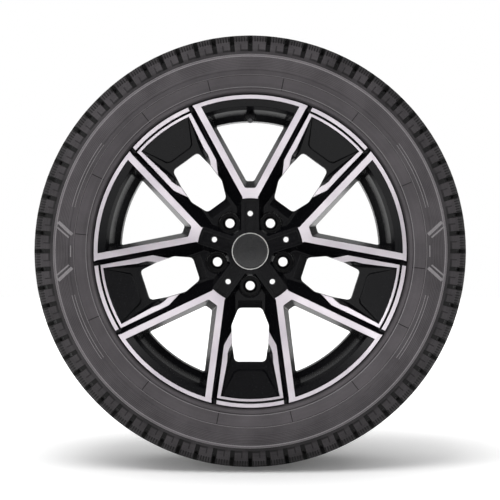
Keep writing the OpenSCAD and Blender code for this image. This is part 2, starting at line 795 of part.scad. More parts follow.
// The spring round the pin, one ring for each turn
module valve_core_spring() {
    wire = 0.3;
    turns = 5;
    low = chamber_low + wire / 2 + 0.1;
    high = collar_a - wire / 2 - 0.1;
    color([0.7, 0.7, 0.7]) on_axle() on_valve() for (i = [0 : turns - 1])
        translate([0, 0, low + i * (high - low) / (turns - 1)]) rotate_extrude($fn = 32)
            translate([(core_chamber_d + pin_d) / 4, 0]) circle(d = wire, $fn = 16);
}

// The valve cap, screwed on the tip
cap_turns = 12;
cap_low = tube_top - cap_turns * valve_pitch;
cap_bore_top = tube_top + 1.4;
module valve_cap() {
    bore_r = valve_thread_d / 2 + 0.06;
    grips = 12;
    color([0.15, 0.15, 0.15]) on_axle() on_valve() difference() {
        union() {
            translate([0, 0, cap_low]) cylinder(d = valve_cap_d, h = 10);
            translate([0, 0, cap_low + 10]) cylinder(d1 = valve_cap_d, d2 = valve_cap_d - 3, h = 3);
            for (i = [0 : grips - 1]) rotate(i * 360 / grips)
                translate([valve_cap_d / 2 - 0.4, -0.5, cap_low + 0.8]) cube([0.8, 1, 9]);
        }
        translate([0, 0, cap_low - over]) cylinder(r = bore_r, h = cap_bore_top - cap_low + over);
    }
}

// The seal inside the valve cap
module valve_cap_seal() {
    color([0.3, 0.3, 0.3]) on_axle() on_valve() difference() {
        translate([0, 0, tube_top + 0.1])
            cylinder(r = valve_thread_d / 2 - 0.05, h = cap_bore_top - tube_top - 0.2);
        translate([0, 0, tube_top]) cylinder(r = 1.2, h = 0.8);
    }
}

// Strip of stick-on weights inside the barrel, whose wall widens towards the back
weight_back_a = -36;
weight_at = 232;
tape_fit = 0.2;
cone_front = [bead_r - 7 - barrel_wall, well_back_a - 18];
cone_back = [bead_r - 1 - barrel_wall, -rim_w / 2 + 21];
cone_slope = (cone_back[0] - cone_front[0]) / (cone_front[1] - cone_back[1]);
function cone_r(a) = cone_front[0] + cone_slope * (cone_front[1] - a);

// A band of the strip from one depth under the barrel's wall to another, over an angle
module strip_band(from_t, to_t, angle) {
    front_a = weight_back_a + weight_w;
    rotate_extrude(angle = angle) polygon([
        [cone_r(weight_back_a) - to_t, weight_back_a],
        [cone_r(weight_back_a) - from_t, weight_back_a],
        [cone_r(front_a) - from_t, front_a],
        [cone_r(front_a) - to_t, front_a]]);
}

weight_gap = 1;
weight_deg = weight_len / cone_front[0] * 180 / PI;
weight_step = (weight_len + weight_gap) / cone_front[0] * 180 / PI;

module balance_weights() {
    under = tape_t + 2 * tape_fit;
    color([0.55, 0.55, 0.56]) on_axle() for (i = [0 : weight_count - 1])
        rotate(weight_at + i * weight_step) strip_band(under, under + weight_t, weight_deg);
}

module weight_tape() {
    color([0.1, 0.1, 0.1]) on_axle() rotate(weight_at)
        strip_band(tape_fit, tape_fit + tape_t, (weight_count - 1) * weight_step + weight_deg);
}

wheel_casting();
tyre();
centre_cap();
cap_face_plate();
cap_spring_ring();
valve_stem();
valve_insert();
valve_core();
valve_core_seal();
valve_core_pin();
valve_core_spring();
valve_cap();
valve_cap_seal();
balance_weights();
weight_tape();
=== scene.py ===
"""Looks of a wheel and tyre assembly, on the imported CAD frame. Lengths in the size fields are millimetres."""

import logging
import math
from dataclasses import dataclass, field
from enum import Enum
from typing import Any, Optional

import bpy
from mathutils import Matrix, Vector


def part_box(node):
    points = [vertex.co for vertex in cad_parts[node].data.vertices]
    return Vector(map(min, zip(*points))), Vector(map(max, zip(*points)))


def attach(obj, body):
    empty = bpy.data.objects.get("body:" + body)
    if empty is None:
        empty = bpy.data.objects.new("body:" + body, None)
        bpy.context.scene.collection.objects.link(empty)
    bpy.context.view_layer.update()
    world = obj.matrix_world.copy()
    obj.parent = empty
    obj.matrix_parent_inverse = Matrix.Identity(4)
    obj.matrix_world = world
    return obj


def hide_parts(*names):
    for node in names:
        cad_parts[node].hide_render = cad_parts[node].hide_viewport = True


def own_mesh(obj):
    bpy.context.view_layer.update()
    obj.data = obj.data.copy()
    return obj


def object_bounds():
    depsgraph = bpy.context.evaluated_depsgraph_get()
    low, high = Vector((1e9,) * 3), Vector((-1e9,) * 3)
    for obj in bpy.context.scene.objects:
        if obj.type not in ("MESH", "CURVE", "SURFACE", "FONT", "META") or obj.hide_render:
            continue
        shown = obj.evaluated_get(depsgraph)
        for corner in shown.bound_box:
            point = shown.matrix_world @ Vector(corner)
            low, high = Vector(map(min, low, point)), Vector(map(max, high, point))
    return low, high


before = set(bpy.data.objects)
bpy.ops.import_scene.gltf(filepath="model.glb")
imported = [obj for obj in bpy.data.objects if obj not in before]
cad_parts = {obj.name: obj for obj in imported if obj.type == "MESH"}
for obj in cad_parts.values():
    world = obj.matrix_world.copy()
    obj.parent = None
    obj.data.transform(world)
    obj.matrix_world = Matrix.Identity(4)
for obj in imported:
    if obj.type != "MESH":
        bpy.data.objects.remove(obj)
CAD_BOX = [list(map(float, corner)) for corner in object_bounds()]

log = logging.getLogger("wheel")
MM = 0.001


class Side(Enum):
    """The two sides of the wheel, by the sign of Y."""

    FACE = -1
    BACK = 1


def linear(hex_colour: str) -> tuple[float, float, float, float]:
    """Turns an sRGB hex colour to linear RGBA.

    Args:
        hex_colour: A colour such as "#1a1a1c".

    Returns:
        Red, green, blue and alpha, linear.
    """
    parts = [int(hex_colour[i : i + 2], 16) / 255 for i in (1, 3, 5)]
    red, green, blue = (c / 12.92 if c <= 0.04045 else ((c + 0.055) / 1.055) ** 2.4 for c in parts)
    return red, green, blue, 1.0


def add(
    tree: bpy.types.NodeTree,
    kind: str,
    settings: Optional[dict[str, Any]] = None,
    inputs: Optional[dict[Any, Any]] = None,
) -> bpy.types.Node:
    """Adds one node with its settings and its inputs.

    Args:
        tree: The node tree that gets the node.
        kind: The node's type name.
        settings: Properties of the node by name.
        inputs: Values, or sockets to link from, by input name or index.

    Returns:
        The new node.
    """
    node = tree.nodes.new(kind)
    for name, value in (settings or {}).items():
        setattr(node, name, value)
    for key, value in (inputs or {}).items():
        if isinstance(value, bpy.types.NodeSocket):
            tree.links.new(value, node.inputs[key])
        else:
            node.inputs[key].default_value = value
    return node


@dataclass(frozen=True)
class Around:
    """Sockets that say where a point lies on the turned wheel, in millimetres and radians."""

    point: bpy.types.NodeSocket
    radius: bpy.types.NodeSocket
    angle: bpy.types.NodeSocket
    height: bpy.types.NodeSocket


def around_axle(tree: bpy.types.NodeTree) -> Around:
    """Measures a surface point from the axle, which runs along Y.

    Args:
        tree: The material's node tree.

    Returns:
        The point in millimetres, its distance from the axle, its angle and its height towards the face.
    """
    place = add(tree, "ShaderNodeTexCoord").outputs["Object"]
    point = add(
        tree, "ShaderNodeVectorMath", {"operation": "SCALE"}, {0: place, "Scale": 1 / MM}
    ).outputs[0]
    flat = add(tree, "ShaderNodeVectorMath", {"operation": "MULTIPLY"}, {0: point, 1: (1, 0, 1)}).outputs[0]
    radius = add(tree, "ShaderNodeVectorMath", {"operation": "LENGTH"}, {0: flat}).outputs["Value"]
    axes = add(tree, "ShaderNodeSeparateXYZ", None, {0: point})
    angle = add(
        tree, "ShaderNodeMath", {"operation": "ARCTAN2"}, {0: axes.outputs["Z"], 1: axes.outputs["X"]}
    ).outputs[0]
    height = add(
        tree, "ShaderNodeMath", {"operation": "MULTIPLY"}, {0: axes.outputs["Y"], 1: -1.0}
    ).outputs[0]
    return Around(point, radius, angle, height)


def band(
    tree: bpy.types.NodeTree, value: Any, low: float, high: float, soft: float
) -> bpy.types.NodeSocket:
    """Makes a mask that is 1 between two values and falls off softly outside them.

    Args:
        tree: The material's node tree.
        value: The socket to test.
        low: Where the band starts.
        high: Where the band ends.
        soft: Width of the fall-off at each end.

    Returns:
        The mask.
    """
    rise = {"interpolation_type": "SMOOTHSTEP", "clamp": True}
    start = add(
        tree, "ShaderNodeMapRange", rise, {0: value, 1: low - soft, 2: low, 3: 0.0, 4: 1.0}
    ).outputs[0]
    end = add(
        tree, "ShaderNodeMapRange", rise, {0: value, 1: high, 2: high + soft, 3: 1.0, 4: 0.0}
    ).outputs[0]
    return add(tree, "ShaderNodeMath", {"operation": "MULTIPLY"}, {0: start, 1: end}).outputs[0]


def new_material(name: str) -> tuple[bpy.types.Material, bpy.types.NodeTree, bpy.types.Node]:
    """Starts a material with an empty tree and one shader.

    Args:
        name: The material's name.

    Returns:
        The material, its tree and its shader.
    """
    material = bpy.data.materials.new(name)
    material.use_nodes = True
    tree = material.node_tree
    tree.nodes.clear()
    shader = add(tree, "ShaderNodeBsdfPrincipled")
    add(tree, "ShaderNodeOutputMaterial", None, {"Surface": shader.outputs[0]})
    return material, tree, shader


@dataclass(frozen=True)
class PaintedAndTurnedAlloy:
    """Cast aluminium, painted black all over and then turned on its face and lip under clear lacquer.

    The paint is deep black with soft reflections and a trace of orange peel. The turned faces are bright, a
    little pink, with the fine rings that the tool leaves.
    """

    paint: str = "#08080a"
    metal_pale: str = "#dad4d9"
    metal_deep: str = "#bdb6be"
    face_height: float = 112.6
    face_slope: float = 26.7 / 155.2
    lip_radius: float = 241.0
    blade_drop: float = 1.5
    blade_slope: float = 0.284
    blade_radius: float = 237.6
    foot_radius: float = 84.0
    outer_radius: float = 248.4
    tolerance: float = 0.3
    ring_spacing: float = 1.1
    peel_size: float = 2.6
    edge_radius: float = 1.6
    patch_size: float = 60.0

    def turned_mask(self, tree: bpy.types.NodeTree, at: Around) -> bpy.types.NodeSocket:
        """Finds the turned faces by their height over the hub at each radius.

        Args:
            tree: The material's node tree.
            at: Where the surface point lies.

        Returns:
            A mask that is 1 on bare metal.
        """
        inward = add(
            tree, "ShaderNodeMath", {"operation": "SUBTRACT"}, {0: self.lip_radius, 1: at.radius}
        ).outputs[0]
        inward = add(tree, "ShaderNodeMath", {"operation": "MAXIMUM"}, {0: inward, 1: 0.0}).outputs[0]
        below = add(
            tree, "ShaderNodeMath", {"operation": "SUBTRACT"}, {0: self.face_height, 1: at.height}
        ).outputs[0]
        face = add(
            tree, "ShaderNodeMath", {"operation": "MULTIPLY_ADD"}, {0: inward, 1: -self.face_slope, 2: below}
        ).outputs[0]
        blade = add(
            tree, "ShaderNodeMath", {"operation": "MULTIPLY_ADD"}, {0: inward, 1: -self.blade_slope, 2: below}
        ).outputs[0]
        on_face = band(tree, face, -self.tolerance, self.tolerance, 0.1)
        on_blade = band(
            tree, blade, self.blade_drop - self.tolerance, self.blade_drop + self.tolerance, 0.1
        )
        ring = band(tree, at.radius, self.foot_radius, self.outer_radius, 0.1)
        blade_ring = band(tree, at.radius, self.foot_radius + 30, self.blade_radius, 0.3)
        face_mask = add(tree, "ShaderNodeMath", {"operation": "MULTIPLY"}, {0: on_face, 1: ring}).outputs[0]
        blade_mask = add(
            tree, "ShaderNodeMath", {"operation": "MULTIPLY"}, {0: on_blade, 1: blade_ring}
        ).outputs[0]
        either = add(
            tree, "ShaderNodeMath", {"operation": "MAXIMUM"}, {0: face_mask, 1: blade_mask}
        ).outputs[0]
        normal = add(tree, "ShaderNodeNewGeometry").outputs["True Normal"]
        facing = add(
            tree, "ShaderNodeVectorMath", {"operation": "DOT_PRODUCT"}, {0: normal, 1: (0, -1, 0)}
        ).outputs["Value"]
        front = band(tree, facing, 0.93, 2.0, 0.02)
        return add(tree, "ShaderNodeMath", {"operation": "MULTIPLY"}, {0: either, 1: front}).outputs[0]

    def make(self) -> bpy.types.Material:
        """Builds the two-tone material.

        Returns:
            The material.
        """
        material, tree, shader = new_material("painted_and_turned_cast_aluminium")
        at = around_axle(tree)
        metal = self.turned_mask(tree, at)
        # Rings left by the tool, drawn several times coarser than a real feed so that they show
        rings = add(
            tree, "ShaderNodeTexNoise", {"noise_dimensions": "1D"},
            {"W": at.radius, "Scale": 1 / self.ring_spacing, "Detail": 2.0, "Roughness": 0.6},
        ).outputs[0]
        patches = add(
            tree, "ShaderNodeTexNoise", None, {"Vector": at.point, "Scale": 1 / self.patch_size, "Detail": 2.0}
        ).outputs[0]
        mix = add(
            tree, "ShaderNodeMath", {"operation": "MULTIPLY_ADD"}, {0: rings, 1: 0.25, 2: patches}
        ).outputs[0]
        tone = add(
            tree, "ShaderNodeMapRange", {"clamp": True}, {0: mix, 1: 0.35, 2: 0.9, 3: 0.0, 4: 1.0}
        ).outputs[0]
        metal_colour = add(
            tree, "ShaderNodeMix", {"data_type": "RGBA"},
            {0: tone, 6: linear(self.metal_deep), 7: linear(self.metal_pale)},
        ).outputs[2]
        grain = add(
            tree, "ShaderNodeTexNoise", None, {"Vector": at.point, "Scale": 1 / self.peel_size, "Detail": 3.0}
        ).outputs[0]
        paint_tone = add(
            tree, "ShaderNodeMapRange", None, {0: grain, 1: 0.3, 2: 0.7, 3: 0.85, 4: 1.25}
        ).outputs[0]
        paint_colour = add(
            tree, "ShaderNodeVectorMath", {"operation": "SCALE"},
            {0: linear(self.paint)[:3], "Scale": paint_tone},
        ).outputs[0]
        colour = add(
            tree, "ShaderNodeMix", {"data_type": "RGBA"}, {0: metal, 6: paint_colour, 7: metal_colour}
        ).outputs[2]
        smooth = add(
            tree, "ShaderNodeMapRange", None, {0: grain, 1: 0.3, 2: 0.7, 3: 0.2, 4: 0.28}
        ).outputs[0]
        turned = add(
            tree, "ShaderNodeMapRange", None, {0: rings, 1: 0.3, 2: 0.7, 3: 0.42, 4: 0.5}
        ).outputs[0]
        rough = add(
            tree, "ShaderNodeMix", {"data_type": "FLOAT"}, {0: metal, 2: smooth, 3: turned}
        ).outputs[0]
        relief = add(
            tree, "ShaderNodeMix", {"data_type": "FLOAT"}, {0: metal, 2: grain, 3: rings}
        ).outputs[0]
        edge = add(tree, "ShaderNodeBevel", {"samples": 6}, {"Radius": self.edge_radius * MM}).outputs[0]
        # The tool's rings run round the axle, so the gloss spreads outwards from it
        outwards = add(
            tree, "ShaderNodeVectorMath", {"operation": "MULTIPLY"}, {0: at.point, 1: (1, 0, 1)}
        ).outputs[0]
        outwards = add(tree, "ShaderNodeVectorMath", {"operation": "NORMALIZE"}, {0: outwards}).outputs[0]
        bump = add(
            tree, "ShaderNodeBump", None,
            {"Strength": 0.25, "Distance": 0.04 * MM, "Height": relief, "Normal": edge},
        ).outputs[0]
        for name, value in {
            "Base Color": colour, "Metallic": metal, "Roughness": rough, "Normal": bump, "Tangent": outwards,
        }.items():
            tree.links.new(value, shader.inputs[name])
        shader.inputs["Specular IOR Level"].default_value = 0.14
        shader.inputs["Anisotropic"].default_value = 0.8
        return material


@dataclass(frozen=True)
class TyreRubber:
    """Vulcanised rubber from an engraved mould: dark grey and dry, its side wall painted paler than its tread as
    painted light.

    The mould leaves rings and radial joint lines on the side wall, and cuts sipes, hooks and fine teeth in the
    tread blocks. The cuts are painted near black, a painted shade in them.
    """

    dark: str = "#1a191a"
    pale: str = "#5c585b"
    # Painted shade in the sipes, slots and teeth, and the colour of the dark joint lines
    cut: str = "#060606"
    # Radial bands painted lighter or darker as light and shade: side wall, ridge, shade band and the blocks' faces
    wall: tuple[float, float] = (252.0, 306.0)
    ridge: tuple[float, float] = (306.8, 309.2)
    shoulder: tuple[float, float] = (313.0, 346.0)
    joint_angles: tuple[float, ...] = (-5.7, 23.2, -26.0, 52.0, 79.0, 104.0, 128.0)
    blocks: int = 72
    sipe_spacing: float = 15.3
    tread_half: float = 101.0
    line_spacing: float = 2.4
    line_band: tuple[float, float] = (289.0, 303.0)
    wall_shade_band: tuple[float, float] = (279.0, 304.0)
    block_highlight_band: tuple[float, float] = (318.0, 331.0)
    slot_run: tuple[float, float] = (314.5, 346.0)
    foot_run: tuple[float, float] = (314.5, 317.5)
    stem_run: tuple[float, float] = (316.0, 326.0)
    teeth_run: tuple[float, float] = (331.0, 343.5)
    tread_run: tuple[float, float] = (338.5, 352.0)
    joint_run: tuple[float, float] = (257.0, 276.0)
    teeth_per_block: float = 7.0
    sipe_radius: float = 351.0
    grain_size: float = 1.6
    cloud_size: float = 45.0

    def blend(self, tree: bpy.types.NodeTree, kind: str, first: Any, second: Any) -> bpy.types.NodeSocket:
        """Joins two masks or numbers with one operation.

        Args:
            tree: The material's node tree.
            kind: The operation.
            first: The first socket or number.
            second: The second socket or number.

        Returns:
            The result.
        """
        return add(tree, "ShaderNodeMath", {"operation": kind}, {0: first, 1: second}).outputs[0]

    def joints(self, tree: bpy.types.NodeTree, at: Around) -> bpy.types.NodeSocket:
        """Draws the thin radial joint lines of the mould, two to each angle.

        Args:
            tree: The material's node tree.
            at: Where the surface point lies.

        Returns:
            A mask that is 1 on a line.
        """
        lines: Any = 0.0
        for degrees in self.joint_angles:
            angle = math.radians(degrees)
            off = add(
                tree, "ShaderNodeVectorMath", {"operation": "DOT_PRODUCT"},
                {0: at.point, 1: (-math.sin(angle), 0, math.cos(angle))},
            ).outputs["Value"]
            lines = self.blend(tree, "MAXIMUM", lines, band(tree, off, -0.45, 0.45, 0.35))
        return self.blend(tree, "MULTIPLY", lines, band(tree, at.radius, *self.joint_run, 0.5))

    def cuts(self, tree: bpy.types.NodeTree, at: Around) -> bpy.types.NodeSocket:
        """Draws the sipes across the tread, the shoulder blocks' hooks and the teeth on their edges.

        Args:
            tree: The material's node tree.
            at: Where the surface point lies.

        Returns:
            A mask that is 1 in a cut.
        """
        turn = self.blend(tree, "MULTIPLY", at.angle, self.blocks / (2 * math.pi))
        place = self.blend(tree, "FRACT", turn, 0.0)
        edge = self.blend(tree, "PINGPONG", turn, 0.5)
        slot = self.blend(
            tree, "MULTIPLY", band(tree, edge, -0.1, 0.12, 0.02), band(tree, at.radius, *self.slot_run, 0.5)
        )
        foot = self.blend(
            tree, "MULTIPLY", band(tree, place, 0.0, 0.56, 0.02), band(tree, at.radius, *self.foot_run, 0.5)
        )
        stem = self.blend(
            tree, "MULTIPLY", band(tree, place, 0.5, 0.56, 0.015), band(tree, at.radius, *self.stem_run, 0.5)
        )
        hook = self.blend(tree, "MULTIPLY", self.blend(tree, "MAXIMUM", foot, stem), 0.6)
        hook = self.blend(tree, "MAXIMUM", slot, hook)
        hook = self.blend(tree, "MULTIPLY", hook, band(tree, at.radius, *self.shoulder, 0.5))
        fine = self.blend(tree, "FRACT", self.blend(tree, "MULTIPLY", turn, self.teeth_per_block), 0.0)
        teeth = self.blend(
            tree, "MULTIPLY", band(tree, fine, 0.0, 0.3, 0.08), band(tree, at.radius, *self.teeth_run, 0.5)
        )
        wave = add(
            tree, "ShaderNodeMath", {"operation": "SINE"}, {0: self.blend(tree, "MULTIPLY", at.height, 0.55)}
        ).outputs[0]
        arc = self.blend(tree, "MULTIPLY", at.angle, self.sipe_radius / self.sipe_spacing)
        zigzag = add(
            tree, "ShaderNodeMath", {"operation": "MULTIPLY_ADD"}, {0: wave, 1: 0.09, 2: arc}
        ).outputs[0]
        sipe = band(tree, self.blend(tree, "FRACT", zigzag, 0.0), 0.47, 0.53, 0.02)
        width = add(tree, "ShaderNodeMath", {"operation": "ABSOLUTE"}, {0: at.height}).outputs[0]
        on_tread = self.blend(
            tree, "MULTIPLY",
            band(tree, width, -1.0, self.tread_half, 0.5), band(tree, at.radius, *self.tread_run, 0.5),
        )
        sipe = self.blend(tree, "MULTIPLY", sipe, on_tread)
        return self.blend(tree, "MAXIMUM", self.blend(tree, "MAXIMUM", hook, teeth), sipe)

    def make(self) -> bpy.types.Material:
        """Builds the rubber.

        Returns:
            The material.
        """
        material, tree, shader = new_material("vulcanised_tyre_rubber")
        at = around_axle(tree)
        # The mould's grain is about 0.2 mm, drawn coarser so that it shows
        grain = add(
            tree, "ShaderNodeTexNoise", None, {"Vector": at.point, "Scale": 1 / self.grain_size, "Detail": 4.0}
        ).outputs[0]
        cloud = add(
            tree, "ShaderNodeTexNoise", None, {"Vector": at.point, "Scale": 1 / self.cloud_size, "Detail": 3.0}
        ).outputs[0]
        rings = add(
            tree, "ShaderNodeTexNoise", {"noise_dimensions": "1D"}, {"W": at.radius, "Scale": 0.7, "Detail": 2.0}
        ).outputs[0]
        joints = self.joints(tree, at)
        cuts = self.cuts(tree, at)
        # Painted highlight: the raised ridge's colour is lifted almost to the pale, as its top catches the light
        ridge = band(tree, at.radius, *self.ridge, 0.5)
        tone = add(
            tree, "ShaderNodeMapRange", None, {0: cloud, 1: 0.35, 2: 0.65, 3: 0.0, 4: 0.18}
        ).outputs[0]
        speckle = add(
            tree, "ShaderNodeMapRange", None, {0: grain, 1: 0.3, 2: 0.7, 3: -0.06, 4: 0.06}
        ).outputs[0]
        tone = self.blend(tree, "ADD", tone, speckle)
        # Painted light: the side wall is lifted well above the tread's dark, as the lamps in front light it
        wall = band(tree, at.radius, *self.wall, 5.0)
        # Painted highlight: the shoulder blocks' faces are a little lighter, as lit faces beside the shaded slots
        blocks = band(tree, at.radius, *self.block_highlight_band, 1.5)
        wave = add(
            tree, "ShaderNodeMath", {"operation": "SINE"},
            {0: self.blend(tree, "MULTIPLY", at.radius, 2 * math.pi / self.line_spacing)},
        ).outputs[0]
        lines = self.blend(tree, "MULTIPLY", wave, band(tree, at.radius, *self.line_band, 0.8))
        # Painted shade: a band of the side wall, 279 to 304 mm from the axle, is darkened
        wall_shade = band(tree, at.radius, *self.wall_shade_band, 1.0)
        # The rings and lines are the mould's engraving; the wall, ridge, block and shade bands are painted light
        # and shade
        tone_and_light_bands = (
            (wall, 0.42), (ridge, 0.75), (rings, 0.2), (lines, 0.16), (blocks, 0.12), (wall_shade, -0.12),
        )
        for mask, weight in tone_and_light_bands:
            tone = add(
                tree, "ShaderNodeMath", {"operation": "MULTIPLY_ADD"}, {0: mask, 1: weight, 2: tone}
            ).outputs[0]
        tone = add(tree, "ShaderNodeClamp", None, {0: tone, 1: 0.0, 2: 1.4}).outputs[0]
        colour = add(
            tree, "ShaderNodeMix", {"data_type": "RGBA", "clamp_factor": False},
            {0: tone, 6: linear(self.dark), 7: linear(self.pale)},
        ).outputs[2]
        # Painted shade: the cuts are coloured near black, as the shade inside them; the joint lines are dark in
        # their own right
        cut_shade_and_joints = self.blend(tree, "MAXIMUM", cuts, joints)
        cut_shade_and_joints = self.blend(tree, "MULTIPLY", cut_shade_and_joints, 0.95)
        colour = add(
            tree, "ShaderNodeMix", {"data_type": "RGBA"}, {0: cut_shade_and_joints, 6: colour, 7: linear(self.cut)}
        ).outputs[2]
        height: Any = grain
        for mask, depth in ((rings, 0.6), (lines, 1.2), (ridge, 3.0), (joints, -2.0), (cuts, -6.0)):
            height = add(
                tree, "ShaderNodeMath", {"operation": "MULTIPLY_ADD"}, {0: mask, 1: depth, 2: height}
            ).outputs[0]
        bump = add(
            tree, "ShaderNodeBump", None, {"Strength": 0.6, "Distance": 0.2 * MM, "Height": height}
        ).outputs[0]
        rough = add(
            tree, "ShaderNodeMapRange", None, {0: grain, 1: 0.3, 2: 0.7, 3: 0.5, 4: 0.66}
        ).outputs[0]
        for name, value in {"Base Color": colour, "Roughness": rough, "Normal": bump}.items():
            tree.links.new(value, shader.inputs[name])
        shader.inputs["Specular IOR Level"].default_value = 0.15
        return material


@dataclass(frozen=True)
class PlainFinish:
    """A finish of one colour range with a grain: moulded plastic, rubber, brass, steel, zinc or foam tape."""

    name: str
    dark: str
    pale: str
    metallic: float
    rough_low: float
    rough_high: float
    grain: float
    relief: float

    def make(self) -> bpy.types.Material:
        """Builds the finish.

        Returns:
            The material.
        """
        material, tree, shader = new_material(self.name)
        at = around_axle(tree)
        grain = add(
            tree, "ShaderNodeTexNoise", None, {"Vector": at.point, "Scale": 1 / self.grain, "Detail": 4.0}
        ).outputs[0]
        tone = add(
            tree, "ShaderNodeMapRange", {"clamp": True}, {0: grain, 1: 0.3, 2: 0.7, 3: 0.0, 4: 1.0}
        ).outputs[0]
        colour = add(
            tree, "ShaderNodeMix", {"data_type": "RGBA"}, {0: tone, 6: linear(self.dark), 7: linear(self.pale)}
        ).outputs[2]
        rough = add(
            tree, "ShaderNodeMapRange", None, {0: grain, 1: 0.3, 2: 0.7, 3: self.rough_low, 4: self.rough_high}
        ).outputs[0]
        bump = add(
            tree, "ShaderNodeBump", None, {"Strength": 0.4, "Distance": self.relief * MM, "Height": grain}
        ).outputs[0]
        for name, value in {"Base Color": colour, "Roughness": rough, "Normal": bump}.items():
            tree.links.new(value, shader.inputs[name])
        shader.inputs["Metallic"].default_value = self.metallic
        return material


@dataclass(frozen=True)
class CapMoulding:
    """Injection-moulded black ABS cap with a chrome-plated rim, and a soft gloss on its bare face."""

    black: str = "#0b0b0d"
    chrome: str = "#c9c8c6"
    rim: tuple[float, float] = (28.15, 29.35)
    step: tuple[float, float] = (16.2, 16.9)
    grain_size: float = 1.2

    def make(self) -> bpy.types.Material:
        """Builds the cap's finish.

        Returns:
            The material.
        """
        material, tree, shader = new_material("moulded_abs_with_plated_rim")
        at = around_axle(tree)
        grain = add(
            tree, "ShaderNodeTexNoise", None, {"Vector": at.point, "Scale": 1 / self.grain_size, "Detail": 3.0}
        ).outputs[0]
        plated = band(tree, at.radius, *self.rim, 0.1)
        front = band(tree, at.height, 79.0, 90.0, 0.2)
        plated = add(tree, "ShaderNodeMath", {"operation": "MULTIPLY"}, {0: plated, 1: front}).outputs[0]
        groove = band(tree, at.radius, *self.step, 0.15)
        groove = add(tree, "ShaderNodeMath", {"operation": "MULTIPLY"}, {0: groove, 1: front}).outputs[0]
        colour = add(
            tree, "ShaderNodeMix", {"data_type": "RGBA"}, {0: plated, 6: linear(self.black), 7: linear(self.chrome)}
        ).outputs[2]
        rough = add(
            tree, "ShaderNodeMapRange", None, {0: grain, 1: 0.3, 2: 0.7, 3: 0.24, 4: 0.34}
        ).outputs[0]
        height = add(
            tree, "ShaderNodeMath", {"operation": "MULTIPLY_ADD"}, {0: groove, 1: -8.0, 2: grain}
        ).outputs[0]
        bump = add(
            tree, "ShaderNodeBump", None, {"Strength": 0.5, "Distance": 0.05 * MM, "Height": height}
        ).outputs[0]
        for name, value in {
            "Base Color": colour, "Metallic": plated, "Roughness": rough, "Normal": bump,
        }.items():
            tree.links.new(value, shader.inputs[name])
        return material


